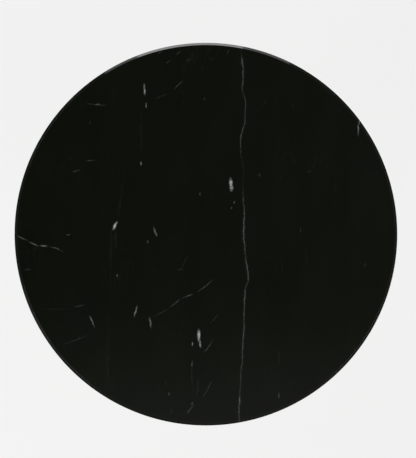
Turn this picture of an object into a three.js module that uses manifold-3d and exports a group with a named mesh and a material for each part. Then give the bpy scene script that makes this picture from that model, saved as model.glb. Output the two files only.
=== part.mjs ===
// Round pedestal table. A bevelled black marble slab is bonded to a birch plywood sub-top, which is
// screwed from below to a steel plate. The plate stands on a flared cast head, a steel tube and a
// weighted trumpet foot, and one tie rod clamps foot, tube and head together. Four levelling glides
// screw into the iron foot weight.
// Millimetres, +Z up. The origin is on the floor, under the centre of the top.
import * as THREE from "three";
import { mergeVertices } from "three/addons/utils/BufferGeometryUtils.js";
import Module from "manifold-3d";

const wasm = await Module();
wasm.setup();

// ---- Driving dimensions ----

const TABLE_HEIGHT = 740;
const SEAM = 0.3; // clearance left at each face where two pieces meet

const TOP = { radius: 450, thickness: 20, bevelWidth: 6, bevelDrop: 5.1, arris: 1.2 };
const SUBTOP = { radius: 300, thickness: 18, chamfer: 7 };
const PLATE = { radius: 170, thickness: 6, accessRadius: 28, edge: 1 };
const COLUMN = { radius: 38, wall: 3 };
const HEAD = { bottom: 600, radius: 115, lip: 6, flare: 3, spigotDepth: 40 };
const HEAD_WEB = { bottom: 630, thickness: 20, pocketRadius: 24 };
const COVER = { radius: 270, wall: 2.2, rimBottom: 5, rimTop: 12, neckTop: 300, flare: 4.2 };
const WEIGHT = { radius: 232, bottom: 13, crown: 42, crownRadius: 165, spigotTop: 82, coverGap: 5.6 };
const WEIGHT_POCKET = { radius: 20, depth: 23 };
const COLLAR = { height: 12, radius: 44, chamfer: 1.5 };

// Metric fastener sizes: shank radius, hexagon across flats, head or nut height, washer radius.
const M4 = { shank: 2, socketDepth: 2 };
const M8 = { shank: 4, acrossFlats: 13, head: 5.3, washer: 8, washerThickness: 1.6 };
const M10 = { shank: 5, acrossFlats: 17 };
const M16 = { shank: 8, acrossFlats: 24, nut: 13, washer: 15, washerThickness: 3 };

const PLATE_SCREWS = { count: 6, circle: 150, length: 22 };
const FLANGE_SCREWS = { count: 4, circle: 80, length: 18, headRadius: 8 };
const INSERT = { radius: 6.2, length: 15 };
const GLIDES = { count: 4, circle: 190, firstAngle: 45 };
const PAD = { radius: 18, height: 8.5, floor: 3.5, lip: 1.6, chamfer: 1.5 };
const STEM = { footRadius: 9, footHeight: 2.8, neckRadius: 5, hexBottom: 9, threadTop: 30 };

// Facets round each turned shape.
const FACETS = { top: 96, wide: 48, foot: 48, medium: 40, small: 16, thread: 12 };

// ---- Heights of the stack, from the top surface down and from the floor up ----

const topBottom = TABLE_HEIGHT - TOP.thickness;
const subtopTop = topBottom - SEAM;
const subtopBottom = subtopTop - SUBTOP.thickness;
const plateTop = subtopBottom - SEAM;
const plateBottom = plateTop - PLATE.thickness;
const headTop = plateBottom - SEAM;
const columnTop = HEAD.bottom - SEAM;
const columnBottom = WEIGHT.crown + SEAM;
const columnBore = COLUMN.radius - COLUMN.wall;
const spigotRadius = columnBore - SEAM;
const rodHole = M16.shank + SEAM * 2;
const neckRadius = COLUMN.radius + SEAM + COVER.wall;
const weightWeb = WEIGHT.bottom + WEIGHT_POCKET.depth;

// ---- Materials ----

const finish = (color, roughness, metalness) =>
  new THREE.MeshStandardMaterial({ color, roughness, metalness });
const FINISH = {
  marble: finish(0x12140f, 0.08, 0),
  plywood: finish(0xc9a877, 0.6, 0),
  blackSteel: finish(0x1b1b1c, 0.45, 0.3),
  brushedSteel: finish(0xb9bab8, 0.3, 1),
  zincSteel: finish(0xa8abad, 0.35, 1),
  castIron: finish(0x3a3a3c, 0.7, 0.6),
  brass: finish(0xc29a4b, 0.35, 1),
  nylon: finish(0x202022, 0.6, 0),
};

// ---- Shape helpers ----

const at = (r, z) => new THREE.Vector2(r, z);

// A profile of (radius, height) points, listed up the outside and down the inside, turned about Z.
function turned(profile, facets) {
  const onAxis = profile[0].x === 0 && profile.at(-1).x === 0;
  const points = onAxis ? profile : [...profile, profile[0]];
  return new THREE.LatheGeometry(points, facets).rotateX(Math.PI / 2);
}

const disc = (radius, bottom, top, facets) =>
  turned([at(0, bottom), at(radius, bottom), at(radius, top), at(0, top)], facets);

const ring = (inner, outer, bottom, top, facets) =>
  turned([at(inner, bottom), at(outer, bottom), at(outer, top), at(inner, top)], facets);

const hexagon = (acrossFlats, bottom, top) => disc(acrossFlats / Math.sqrt(3), bottom, top, 6);

function toSolid(geometry) {
  const bare = geometry.clone().deleteAttribute("normal").deleteAttribute("uv");
  const merged = mergeVertices(bare, 1e-3);
  return new wasm.Manifold(
    new wasm.Mesh({
      numProp: 3,
      vertProperties: merged.attributes.position.array,
      triVerts: new Uint32Array(merged.index.array),
    }),
  );
}

function toGeometry(solid) {
  const mesh = solid.getMesh();
  return new THREE.BufferGeometry()
    .setAttribute("position", new THREE.BufferAttribute(mesh.vertProperties, 3))
    .setIndex(new THREE.BufferAttribute(mesh.triVerts, 1));
}

const cut = (body, ...tools) =>
  toGeometry(tools.reduce((left, tool) => left.subtract(toSolid(tool)), toSolid(body)));

const join = (...bodies) => toGeometry(bodies.map(toSolid).reduce((whole, body) => whole.add(body)));

// Copies of one tool, spread evenly round a circle.
function aroundCircle({ count, circle, firstAngle = 0 }, makeTool) {
  return Array.from({ length: count }, (_, i) => {
    const angle = THREE.MathUtils.degToRad(firstAngle + (360 / count) * i);
    return makeTool().translate(circle * Math.cos(angle), circle * Math.sin(angle), 0);
  });
}

const table = new THREE.Group();

function addPiece(name, geometry, material) {
  const mesh = new THREE.Mesh(geometry, material);
  mesh.name = name;
  table.add(mesh);
  return mesh;
}

// Numbered copies of one piece, spread evenly round a circle.
function addPiecesAround({ count, circle, firstAngle = 0 }, name, geometry, material) {
  for (let i = 0; i < count; i++) {
    const angle = THREE.MathUtils.degToRad(firstAngle + (360 / count) * i);
    const mesh = addPiece(`${name}_${i + 1}`, geometry, material);
    mesh.position.set(circle * Math.cos(angle), circle * Math.sin(angle), 0);
  }
}

// ---- The trumpet cover's outline ----

// Height of the cover's outside at a radius: shallow at the foot, upright at the neck.
function coverHeight(radius) {
  const share = (radius - neckRadius) / (COVER.radius - neckRadius);
  return COVER.rimTop + (COVER.neckTop - COVER.rimTop) * (1 - share ** (1 / COVER.flare));
}

// The outside from the rim up to the neck, as points a steady share of the height apart near the neck
// and closer together near the foot.
function coverOutside(steps) {
  return Array.from({ length: steps + 1 }, (_, i) => {
    const share = (i / steps) ** 1.5;
    const radius = neckRadius + (COVER.radius - neckRadius) * (1 - share) ** COVER.flare;
    return at(radius, COVER.rimTop + (COVER.neckTop - COVER.rimTop) * share);
  });
}

// The same line moved square to itself by the wall, listed from the neck down to the rim.
function coverInside(outside) {
  const inside = outside.map((point, i) => {
    const before = outside[Math.max(i - 1, 0)];
    const after = outside[Math.min(i + 1, outside.length - 1)];
    const along = after.clone().sub(before).normalize();
    return at(point.x - along.y * COVER.wall, point.y + along.x * COVER.wall);
  });
  inside[0].x = COVER.radius - COVER.wall;
  inside.at(-1).set(neckRadius - COVER.wall, COVER.neckTop);
  return inside.reverse();
}

// ---- Top: marble slab, plywood sub-top, steel plate ----

function marbleTop() {
  const { radius, bevelWidth, bevelDrop, arris } = TOP;
  return turned(
    [
      at(0, topBottom),
      at(radius - arris, topBottom),
      at(radius, topBottom + arris),
      at(radius, TABLE_HEIGHT - bevelDrop),
      at(radius - bevelWidth, TABLE_HEIGHT),
      at(0, TABLE_HEIGHT),
    ],
    FACETS.top,
  );
}

function plywoodSubtop() {
  const { radius, chamfer } = SUBTOP;
  const board = turned(
    [
      at(0, subtopBottom),
      at(radius - chamfer, subtopBottom),
      at(radius, subtopBottom + chamfer),
      at(radius, subtopTop),
      at(0, subtopTop),
    ],
    FACETS.wide,
  );
  const holeTop = subtopBottom + INSERT.length + SEAM;
  const holes = aroundCircle(PLATE_SCREWS, () =>
    disc(INSERT.radius + SEAM, subtopBottom - 1, holeTop, FACETS.thread),
  );
  return cut(board, ...holes);
}

function mountingPlate() {
  const { radius, accessRadius, edge } = PLATE;
  const blank = turned(
    [
      at(accessRadius, plateBottom),
      at(radius - edge, plateBottom),
      at(radius, plateBottom + edge),
      at(radius, plateTop - edge),
      at(radius - edge, plateTop),
      at(accessRadius, plateTop),
    ],
    FACETS.wide,
  );
  const drillClearance = SEAM * 1.5;
  const screwHole = M8.shank + drillClearance;
  const sinkRadius = FLANGE_SCREWS.headRadius + drillClearance;
  const sinkTop = plateTop - drillClearance;
  const screwHoles = aroundCircle(PLATE_SCREWS, () =>
    disc(screwHole, plateBottom - 1, plateTop + 1, FACETS.thread),
  );
  const countersinks = aroundCircle(FLANGE_SCREWS, () =>
    turned(
      [
        at(0, plateBottom - 1),
        at(screwHole, plateBottom - 1),
        at(screwHole, sinkTop - (sinkRadius - screwHole)),
        at(sinkRadius, sinkTop),
        at(sinkRadius, plateTop + 1),
        at(0, plateTop + 1),
      ],
      FACETS.thread,
    ),
  );
  return cut(blank, ...screwHoles, ...countersinks);
}

addPiece("marble_top", marbleTop(), FINISH.marble);
addPiece("plywood_subtop", plywoodSubtop(), FINISH.plywood);
addPiece("mounting_plate", mountingPlate(), FINISH.blackSteel);

// ---- Screws, washers and inserts that hold the sub-top to the plate ----

const washerTop = plateBottom - SEAM;
const washerBottom = washerTop - M8.washerThickness;
const screwHeadTop = washerBottom - SEAM;

function plateScrew() {
  const head = hexagon(M8.acrossFlats, screwHeadTop - M8.head, screwHeadTop);
  const shank = disc(M8.shank, screwHeadTop - 1, screwHeadTop + PLATE_SCREWS.length, FACETS.thread);
  return join(head, shank);
}

const plateWasher = () => ring(M8.shank + SEAM, M8.washer, washerBottom, washerTop, FACETS.small);

const threadedInsert = () =>
  ring(M8.shank + SEAM, INSERT.radius, subtopBottom + SEAM, subtopBottom + INSERT.length, FACETS.thread);

addPiecesAround(PLATE_SCREWS, "plate_screw", plateScrew(), FINISH.zincSteel);
addPiecesAround(PLATE_SCREWS, "plate_washer", plateWasher(), FINISH.zincSteel);
addPiecesAround(PLATE_SCREWS, "threaded_insert", threadedInsert(), FINISH.brass);

// ---- Head: flared casting and the countersunk screws through the plate into it ----

const headWebTop = HEAD_WEB.bottom + HEAD_WEB.thickness;

function headCasting() {
  const { bottom, radius, lip, spigotDepth } = HEAD;
  const { pocketRadius } = HEAD_WEB;
  const flareSteps = 9;
  const flare = Array.from({ length: flareSteps + 1 }, (_, i) => {
    const share = i / flareSteps;
    const flareRadius = COLUMN.radius + (radius - COLUMN.radius) * share ** HEAD.flare;
    return at(flareRadius, bottom + (headTop - lip - bottom) * share);
  });
  const casting = turned(
    [
      at(rodHole, HEAD_WEB.bottom),
      at(pocketRadius, HEAD_WEB.bottom),
      at(pocketRadius, bottom - spigotDepth),
      at(spigotRadius, bottom - spigotDepth),
      at(spigotRadius, bottom),
      ...flare,
      at(radius, headTop),
      at(pocketRadius, headTop),
      at(pocketRadius, headWebTop),
      at(rodHole, headWebTop),
    ],
    FACETS.medium,
  );
  const tapped = aroundCircle(FLANGE_SCREWS, () =>
    disc(M8.shank + SEAM, headTop - FLANGE_SCREWS.length + PLATE.thickness, headTop + 1, FACETS.thread),
  );
  return cut(casting, ...tapped);
}

function flangeScrew() {
  const top = plateTop - SEAM;
  const { headRadius, length } = FLANGE_SCREWS;
  return turned(
    [
      at(0, top - length),
      at(M8.shank, top - length),
      at(M8.shank, top - (headRadius - M8.shank) - SEAM),
      at(headRadius, top - SEAM),
      at(headRadius, top),
      at(0, top),
    ],
    FACETS.thread,
  );
}

addPiece("head_casting", headCasting(), FINISH.blackSteel);
addPiecesAround(FLANGE_SCREWS, "flange_screw", flangeScrew(), FINISH.zincSteel);

// ---- Column tube ----

addPiece(
  "column_tube",
  ring(columnBore, COLUMN.radius, columnBottom, columnTop, FACETS.medium),
  FINISH.blackSteel,
);

// ---- Foot: spun trumpet cover over an iron weight, and the collar that closes the cover's neck ----

function baseCover() {
  const outside = coverOutside(15);
  const rim = [at(COVER.radius - COVER.wall, COVER.rimBottom), at(COVER.radius, COVER.rimBottom)];
  return turned([...rim, ...outside, ...coverInside(outside)], FACETS.foot);
}

// The weight fills the foot: its upper face follows the cover a few millimetres below it, up to a flat
// crown that carries the tube.
function baseWeight() {
  const { radius, bottom, crown, crownRadius, spigotTop, coverGap } = WEIGHT;
  const domeSteps = 8;
  const dome = Array.from({ length: domeSteps + 1 }, (_, i) => {
    const domeRadius = radius + (crownRadius - radius) * (i / domeSteps);
    return at(domeRadius, Math.min(coverHeight(domeRadius) - coverGap, crown));
  });
  const casting = turned(
    [
      at(WEIGHT_POCKET.radius, bottom),
      at(radius, bottom),
      ...dome,
      at(spigotRadius, crown),
      at(spigotRadius, spigotTop),
      at(rodHole, spigotTop),
      at(rodHole, weightWeb),
      at(WEIGHT_POCKET.radius, weightWeb),
    ],
    FACETS.medium,
  );
  const tapped = aroundCircle(GLIDES, () =>
    disc(M10.shank + SEAM, bottom - 1, crown + 1, FACETS.thread),
  );
  return cut(casting, ...tapped);
}

const collarBottom = COVER.neckTop + SEAM;
const collarMiddle = collarBottom + COLLAR.height / 2;

// An upright shape laid down along +Y, at half the collar's height.
const towardsBack = (shape) => shape.rotateX(-Math.PI / 2).translate(0, 0, collarMiddle);

function collarRing() {
  const { height, radius, chamfer } = COLLAR;
  const inner = COLUMN.radius + SEAM;
  const top = collarBottom + height;
  const blank = turned(
    [
      at(inner, collarBottom),
      at(radius - chamfer / 2, collarBottom),
      at(radius, collarBottom + chamfer / 2),
      at(radius, top - chamfer),
      at(radius - chamfer, top),
      at(inner, top),
    ],
    FACETS.medium,
  );
  const tapped = disc(M4.shank + SEAM, COLUMN.radius - 1, radius + 1, FACETS.thread);
  return cut(blank, towardsBack(tapped));
}

// A headless screw with a hexagonal socket, driven in until its end is just under the collar's face.
function collarGrubScrew() {
  const end = COLLAR.radius - SEAM * 3;
  const screw = disc(M4.shank, COLUMN.radius + SEAM, end, FACETS.thread);
  const socket = hexagon(M4.shank, end - M4.socketDepth, end + 1);
  return cut(towardsBack(screw), towardsBack(socket));
}

addPiece("base_cover", baseCover(), FINISH.blackSteel);
addPiece("base_weight", baseWeight(), FINISH.castIron);
addPiece("collar_ring", collarRing(), FINISH.brushedSteel);
addPiece("collar_grub_screw", collarGrubScrew(), FINISH.zincSteel);

// ---- Tie rod that clamps weight, tube and head together ----

const topWasher = { bottom: headWebTop + SEAM, top: headWebTop + SEAM + M16.washerThickness };
const topNut = { bottom: topWasher.top + SEAM, top: topWasher.top + SEAM + M16.nut };
const bottomWasher = { bottom: weightWeb - SEAM - M16.washerThickness, top: weightWeb - SEAM };
const bottomNut = { bottom: bottomWasher.bottom - SEAM - M16.nut, top: bottomWasher.bottom - SEAM };
const rodOverhang = 4; // thread left showing past each nut

const rodWasher = ({ bottom, top }) => ring(M16.shank + SEAM, M16.washer, bottom, top, FACETS.small);
const rodNut = ({ bottom, top }) =>
  cut(hexagon(M16.acrossFlats, bottom, top), disc(M16.shank + SEAM, bottom - 1, top + 1, FACETS.thread));

addPiece(
  "tie_rod",
  disc(M16.shank, bottomNut.bottom - rodOverhang, topNut.top + rodOverhang, FACETS.thread),
  FINISH.zincSteel,
);
addPiece("tie_rod_top_washer", rodWasher(topWasher), FINISH.zincSteel);
addPiece("tie_rod_top_nut", rodNut(topNut), FINISH.zincSteel);
addPiece("tie_rod_bottom_washer", rodWasher(bottomWasher), FINISH.zincSteel);
addPiece("tie_rod_bottom_nut", rodNut(bottomNut), FINISH.zincSteel);

// ---- Levelling glides: a threaded stem whose round foot snaps into a nylon pad ----

function glidePad() {
  const { radius, height, floor, lip, chamfer } = PAD;
  const socket = STEM.footRadius + SEAM;
  const lipBottom = height - lip;
  return turned(
    [
      at(0, 0),
      at(radius - chamfer, 0),
      at(radius, chamfer),
      at(radius, height - chamfer * 2),
      at(radius - chamfer * 2, height),
      at(socket - 1, height),
      at(socket - 1, lipBottom),
      at(socket, lipBottom),
      at(socket, floor),
      at(0, floor),
    ],
    FACETS.small,
  );
}

function glideStem() {
  const { footRadius, footHeight, neckRadius: neck, hexBottom, threadTop } = STEM;
  const footBottom = PAD.floor + SEAM;
  const foot = turned(
    [
      at(0, footBottom),
      at(footRadius, footBottom),
      at(footRadius, footBottom + footHeight),
      at(neck, footBottom + footHeight),
      at(neck, hexBottom + 1),
      at(0, hexBottom + 1),
    ],
    FACETS.small,
  );
  const hex = hexagon(M10.acrossFlats, hexBottom, WEIGHT.bottom - SEAM);
  const thread = disc(M10.shank, hexBottom + 1, threadTop, FACETS.thread);
  return join(foot, hex, thread);
}

addPiecesAround(GLIDES, "glide_pad", glidePad(), FINISH.nylon);
addPiecesAround(GLIDES, "glide_stem", glideStem(), FINISH.zincSteel);

export default table;
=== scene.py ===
import math

import bmesh
import bpy
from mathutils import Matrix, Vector


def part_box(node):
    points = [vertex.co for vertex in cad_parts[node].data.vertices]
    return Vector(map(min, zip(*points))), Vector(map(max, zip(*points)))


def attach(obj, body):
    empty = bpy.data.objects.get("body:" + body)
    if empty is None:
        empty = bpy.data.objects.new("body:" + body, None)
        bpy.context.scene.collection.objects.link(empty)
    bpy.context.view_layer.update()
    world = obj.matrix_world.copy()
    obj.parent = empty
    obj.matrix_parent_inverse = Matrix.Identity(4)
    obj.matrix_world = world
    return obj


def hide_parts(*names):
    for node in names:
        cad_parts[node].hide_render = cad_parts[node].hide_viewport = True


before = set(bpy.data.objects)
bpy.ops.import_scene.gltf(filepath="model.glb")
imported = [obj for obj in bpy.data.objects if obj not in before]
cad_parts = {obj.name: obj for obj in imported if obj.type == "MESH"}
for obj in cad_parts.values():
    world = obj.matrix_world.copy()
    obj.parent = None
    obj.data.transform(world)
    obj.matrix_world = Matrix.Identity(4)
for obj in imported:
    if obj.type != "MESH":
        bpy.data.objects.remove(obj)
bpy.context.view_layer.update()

# ---- Camera ---------------------------------------------------------------------------------------
# Straight down on the table from four metres up, through a long lens, with the top filling the view.
# It stands a little right of and behind the column's axis.

LENS = 135
SENSOR = 36
VIEW_SPAN = 1.0754  # metres of the table top's level across the view's long side
ASIDE, BEHIND = 0.0049, 0.0121
TOP_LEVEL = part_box("marble_top")[1].z

camera_data = bpy.data.cameras.new("camera")
camera_data.lens = LENS
camera_data.sensor_width = SENSOR
camera = bpy.data.objects.new("camera", camera_data)
camera.location = (ASIDE, BEHIND, TOP_LEVEL + VIEW_SPAN * LENS / SENSOR)
bpy.context.scene.collection.objects.link(camera)
bpy.context.scene.camera = camera
bpy.context.scene.view_settings.view_transform = "Standard"


# ---- Studio ---------------------------------------------------------------------------------------
# A plain pale floor that glows as a light table does, under a dim sky with broad soft boxes. The two
# behind the table stand low, where the bevel of the top mirrors them.

FLOOR_SIDE = 200
FLOOR_WHITE = 0.20
FLOOR_GLOW = 0.758
BACKDROP_WHITE = 0.888


def node(tree, kind, inputs=None, **settings):
    """A new shader node. An input given as another node's output is linked, and any other is set."""
    made = tree.nodes.new("ShaderNode" + kind)
    for setting, value in settings.items():
        setattr(made, setting, value)
    for socket, value in (inputs or {}).items():
        if isinstance(value, bpy.types.NodeSocket):
            tree.links.new(value, made.inputs[socket])
        else:
            made.inputs[socket].default_value = value
    return made


def ramp(tree, value, stops, interpolation="LINEAR"):
    """A colour ramp's output for a value, from stops of (position, grey or colour)."""
    made = node(tree, "ValToRGB", {"Fac": value})
    made.color_ramp.interpolation = interpolation
    while len(made.color_ramp.elements) < len(stops):
        made.color_ramp.elements.new(1)
    for element, (position, colour) in zip(made.color_ramp.elements, stops):
        element.position = position
        element.color = (*colour, 1) if isinstance(colour, tuple) else (colour, colour, colour, 1)
    return made.outputs["Color"]


floor_mesh = bpy.data.meshes.new("floor")
half = FLOOR_SIDE / 2
floor_mesh.from_pydata(
    [(-half, -half, 0), (half, -half, 0), (half, half, 0), (-half, half, 0)], [], [(0, 1, 2, 3)]
)
floor = bpy.data.objects.new("floor", floor_mesh)
bpy.context.scene.collection.objects.link(floor)
floor_paint = bpy.data.materials.new("floor_paint")
floor_paint.use_nodes = True
floor_shader = floor_paint.node_tree.nodes["Principled BSDF"]
floor_shader.inputs["Base Color"].default_value = (FLOOR_WHITE, FLOOR_WHITE, FLOOR_WHITE, 1)
floor_shader.inputs["Roughness"].default_value = 0.9
floor_shader.inputs["Specular IOR Level"].default_value = 0.1
floor_shader.inputs["Emission Color"].default_value = (1, 1, 1, 1)
floor_shader.inputs["Emission Strength"].default_value = FLOOR_GLOW
floor_mesh.materials.append(floor_paint)

# The sky's brightness against the sine of the angle above the horizon. It is darkest overhead, so
# that the polished top stays black from above, and grows towards the front and a little to the right.
SKY = [
    (0.0, 0.08), (0.12, 0.10), (0.30, 0.18), (0.48, 0.42),
    (0.62, 0.82), (0.75, 0.50), (0.89, 0.04), (0.97, 0.025),
]
FRONT_GLOW = 0.48
SIDE_TILT = 0.03


def spread(tree, value, low, high, to_low=0.0, to_high=1.0, kind="LINEAR"):
    """A value moved from one range to another, and held inside it."""
    made = node(
        tree,
        "MapRange",
        {"Value": value, "From Min": low, "From Max": high, "To Min": to_low, "To Max": to_high},
        interpolation_type=kind,
    )
    return made.outputs["Result"]


def combine(tree, operation, first, second=0.0):
    """Arithmetic on one or two values, by the Math node's name for it."""
    return node(tree, "Math", {0: first, 1: second}, operation=operation).outputs["Value"]


world = bpy.data.worlds.new("studio")
bpy.context.scene.world = world
world.use_nodes = True
sky_tree = world.node_tree
sky_tree.nodes.clear()
heading = node(sky_tree, "SeparateXYZ", {"Vector": node(sky_tree, "TexCoord").outputs["Generated"]}).outputs
front = spread(sky_tree, heading["Y"], 0, -0.30, 0, FRONT_GLOW, "SMOOTHSTEP")
front = combine(sky_tree, "MULTIPLY", front, spread(sky_tree, heading["Z"], 0.3, 0.7))
tilt = spread(sky_tree, heading["X"], -0.15, 0.15, -SIDE_TILT, SIDE_TILT)
glow = combine(sky_tree, "MAXIMUM", ramp(sky_tree, heading["Z"], SKY), front)
sky = node(sky_tree, "Background", {"Color": combine(sky_tree, "ADD", glow, tilt)})
backdrop = node(sky_tree, "Background", {"Color": (BACKDROP_WHITE, BACKDROP_WHITE, BACKDROP_WHITE, 1)})
seen = node(sky_tree, "LightPath").outputs["Is Camera Ray"]
shown_sky = node(
    sky_tree, "MixShader", {0: seen, 1: sky.outputs["Background"], 2: backdrop.outputs["Background"]}
)
node(sky_tree, "OutputWorld", {"Surface": shown_sky.outputs["Shader"]})


def soft_box(name, azimuth, elevation, distance, width, tall, radiance):
    """A soft box turned towards the middle of the table. Azimuth is counted from +X towards +Y."""
    light = bpy.data.lights.new(name, "AREA")
    light.shape = "RECTANGLE"
    light.size = width
    light.size_y = tall
    light.energy = radiance * math.pi * width * tall
    box = bpy.data.objects.new(name, light)
    across = distance * math.cos(math.radians(elevation))
    aim = Vector((0, 0, TOP_LEVEL))
    box.location = aim + Vector(
        (
            across * math.cos(math.radians(azimuth)),
            across * math.sin(math.radians(azimuth)),
            distance * math.sin(math.radians(elevation)),
        )
    )
    box.rotation_euler = (aim - box.location).to_track_quat("-Z", "Y").to_euler()
    box.visible_camera = False
    bpy.context.scene.collection.objects.link(box)


soft_box("box_behind", azimuth=95, elevation=2.8, distance=2.6, width=1.5, tall=0.2, radiance=3.4)
soft_box("box_behind_wide", azimuth=93, elevation=2.8, distance=2.7, width=3.0, tall=0.2, radiance=1.2)
soft_box("box_left", azimuth=215, elevation=24, distance=4.2, width=2.6, tall=1.6, radiance=5.0)
soft_box("box_right", azimuth=325, elevation=25, distance=4.2, width=1.8, tall=1.4, radiance=2.6)
soft_box("box_back_left", azimuth=145, elevation=27, distance=4.4, width=1.8, tall=1.4, radiance=2.4)


# ---- Marble top -----------------------------------------------------------------------------------
# A round slab of black marble with pale calcite veins. Its face, its bevelled upper edge and its rim
# are polished, its underside is left as sawn. Stone adhesive holds it to the plywood below.

BEVEL_WIDTH = 0.006
BEVEL_DROP = 0.0051
UNDER_ARRIS = 0.0012
SHARP_FOLD = math.radians(32)  # edges folded further than this stay sharp
SAME_POINT = 1e-6  # points closer than this are one
USUAL_LOW, USUAL_HIGH = 0.3, 0.7  # where most of a noise's values fall
LEVEL = 0.95  # a face lies flat if its normal rises or falls further than this


def eased(corners, steps=5):
    """An outline of (radius, height) points from corners of (radius, height, round)."""
    ring = corners[0][0] > 0
    points = []
    for i, corner in enumerate(corners):
        here = Vector(corner[:2])
        bend = corner[2] if len(corner) > 2 else 0
        if not bend or (not ring and i in (0, len(corners) - 1)):
            points.append((here.x, here.y))
            continue
        before = Vector(corners[i - 1][:2]) - here
        after = Vector(corners[(i + 1) % len(corners)][:2]) - here
        half_turn = before.angle(after) / 2
        reach = min(bend / math.tan(half_turn), before.length * 0.49, after.length * 0.49)
        inwards = (before.normalized() + after.normalized()).normalized()
        middle = here + inwards * (reach / math.cos(half_turn))
        start = here + before.normalized() * reach - middle
        end = here + after.normalized() * reach - middle
        sweep = start.angle(end)
        for step in range(steps + 1):
            share = step / steps
            spoke = (start * math.sin((1 - share) * sweep) + end * math.sin(share * sweep)) / math.sin(sweep)
            points.append((middle.x + spoke.x, middle.y + spoke.y))
    return points


def turned(name, outline, around):
    """A piece turned about Z. The outline is (radius, height) points, or gives them for each angle."""
    columns = []
    for i in range(around):
        angle = math.tau * i / around
        column = outline(angle) if callable(outline) else outline
        columns.append([(r * math.cos(angle), r * math.sin(angle), z) for r, z in column])
    count = len(columns[0])
    closed = math.hypot(*columns[0][0][:2]) > 0
    made = bmesh.new()
    grid = [[made.verts.new(point) for point in column] for column in columns]
    for i, column in enumerate(grid):
        beside = grid[(i + 1) % around]
        for j in range(count if closed else count - 1):
            k = (j + 1) % count
            made.faces.new((column[j], beside[j], beside[k], column[k]))
    bmesh.ops.remove_doubles(made, verts=made.verts, dist=SAME_POINT)
    bmesh.ops.recalc_face_normals(made, faces=made.faces)
    mesh = bpy.data.meshes.new(name)
    made.to_mesh(mesh)
    made.free()
    piece = bpy.data.objects.new(name, mesh)
    bpy.context.scene.collection.objects.link(piece)
    return piece


def let_flat_faces_rule(piece):
    """Takes the shading of the rounds from the flat faces beside them."""
    weighted = piece.modifiers.new("flat_faces_rule", "WEIGHTED_NORMAL")
    weighted.keep_sharp = True


def smooth(piece):
    """Smooth shading that keeps the sharp folds."""
    made = bmesh.new()
    made.from_mesh(piece.data)
    for face in made.faces:
        face.smooth = True
    for edge in made.edges:
        edge.smooth = len(edge.link_faces) == 2 and edge.calc_face_angle() < SHARP_FOLD
    made.to_mesh(piece.data)
    made.free()
    let_flat_faces_rule(piece)


def new_finish(name, roughness, metallic=0.0):
    """A material. Returns it, its node tree, its shader's inputs and the place on the piece."""
    made = bpy.data.materials.new(name)
    made.use_nodes = True
    sockets = made.node_tree.nodes["Principled BSDF"].inputs
    sockets["Roughness"].default_value = roughness
    sockets["Metallic"].default_value = metallic
    place = node(made.node_tree, "TexCoord").outputs["Object"]
    return made, made.node_tree, sockets, place


def combine_vectors(tree, operation, first, second):
    return node(tree, "VectorMath", {0: first, 1: second}, operation=operation).outputs["Vector"]


def noise(tree, place, scale, detail=3.0, rough=0.5, stretch=(1, 1, 1), output="Fac"):
    """Noise at a place, with this many features to the metre, drawn out by stretch."""
    if stretch != (1, 1, 1):
        place = combine_vectors(tree, "MULTIPLY", place, stretch)
    made = node(tree, "TexNoise", {"Vector": place, "Scale": scale, "Detail": detail, "Roughness": rough})
    return made.outputs[output]


def blend_colours(tree, share, first, second):
    """The first colour where the share is 0, and the second where it is 1."""
    mixed = node(tree, "MixRGB", {"Fac": share, "Color1": first, "Color2": second})
    return mixed.outputs["Color"]


def colour(tree, sockets, share, first, second):
    """Colours the surface from the first colour to the second by a share."""
    tree.links.new(blend_colours(tree, share, first, second), sockets["Base Color"])


def graded(tree, grain, low=0.0, high=1.0):
    """A noise's usual range moved to another one."""
    return spread(tree, grain, USUAL_LOW, USUAL_HIGH, low, high)


def roughen(tree, sockets, grain, low, high):
    """Makes the surface from low to high rough by a noise."""
    tree.links.new(graded(tree, grain, low, high), sockets["Roughness"])


def bump(tree, sockets, height, depth):
    """Relief on the surface, depth metres for each unit of height."""
    made = node(tree, "Bump", {"Height": height, "Distance": depth, "Strength": 1.0})
    tree.links.new(made.outputs["Normal"], sockets["Normal"])


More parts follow.
